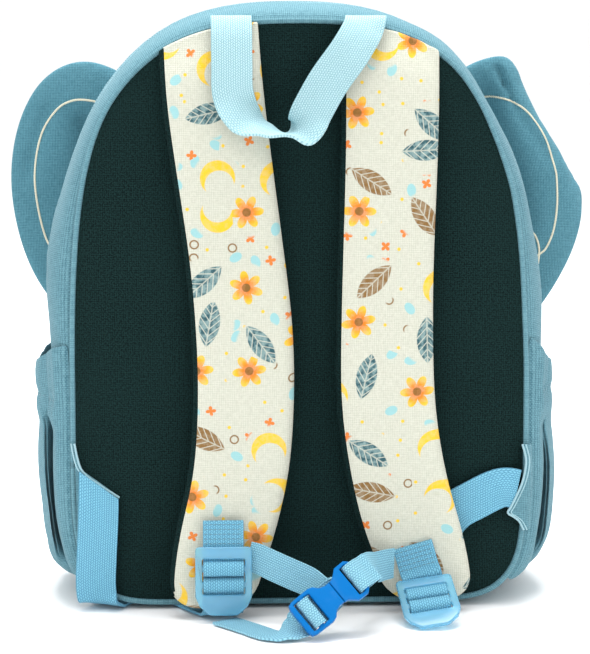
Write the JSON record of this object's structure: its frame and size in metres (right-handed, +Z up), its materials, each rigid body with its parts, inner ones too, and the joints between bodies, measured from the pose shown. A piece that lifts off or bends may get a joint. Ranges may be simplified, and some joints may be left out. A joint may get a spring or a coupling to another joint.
{
  "type": "child backpack",
  "caption": "Small soft backpack with two padded shoulder straps, a chest strap with a side-release buckle, side pockets, a carry handle and ear shapes at its sides.",
  "frame": {"origin": "on the floor, at the middle of the flat base the bag stands on", "axes": "+Z up, -Y towards the side with the shoulder straps, +X to the right when that side is looked at"},
  "size_m": [0.3072, 0.185, 0.3052],
  "materials": {
    "canvas_blue": "woven canvas",
    "canvas_dark": "woven canvas, padded",
    "canvas_print": "printed canvas over foam",
    "webbing_blue": "woven webbing",
    "plastic_clear": "frosted, translucent",
    "plastic_blue": "satin",
    "zip_blue": "zip tape with a nylon coil"
  },
  "bodies": {
    "root": {"gusset": "canvas_blue", "main_zip": "zip_blue", "back_panel": "canvas_dark", "front_panel": "canvas_blue", "ear_left": "canvas_blue", "ear_right": "canvas_blue", "side_pocket_left": "canvas_blue", "side_pocket_right": "canvas_blue", "shoulder_strap_left": "canvas_print", "shoulder_strap_right": "canvas_print", "carry_handle": "webbing_blue", "side_tab_left": "canvas_blue", "side_tab_right": "canvas_blue", "ladder_lock_left": "plastic_clear", "ladder_lock_right": "plastic_clear", "adjuster_loop_left": "webbing_blue", "adjuster_loop_right": "webbing_blue", "lower_webbing_left": "webbing_blue", "lower_webbing_right": "webbing_blue", "chest_strap_left": "webbing_blue", "chest_strap_right": "webbing_blue", "buckle_socket": "plastic_blue", "buckle_plug": "plastic_blue"}
  },
  "joints": []
}
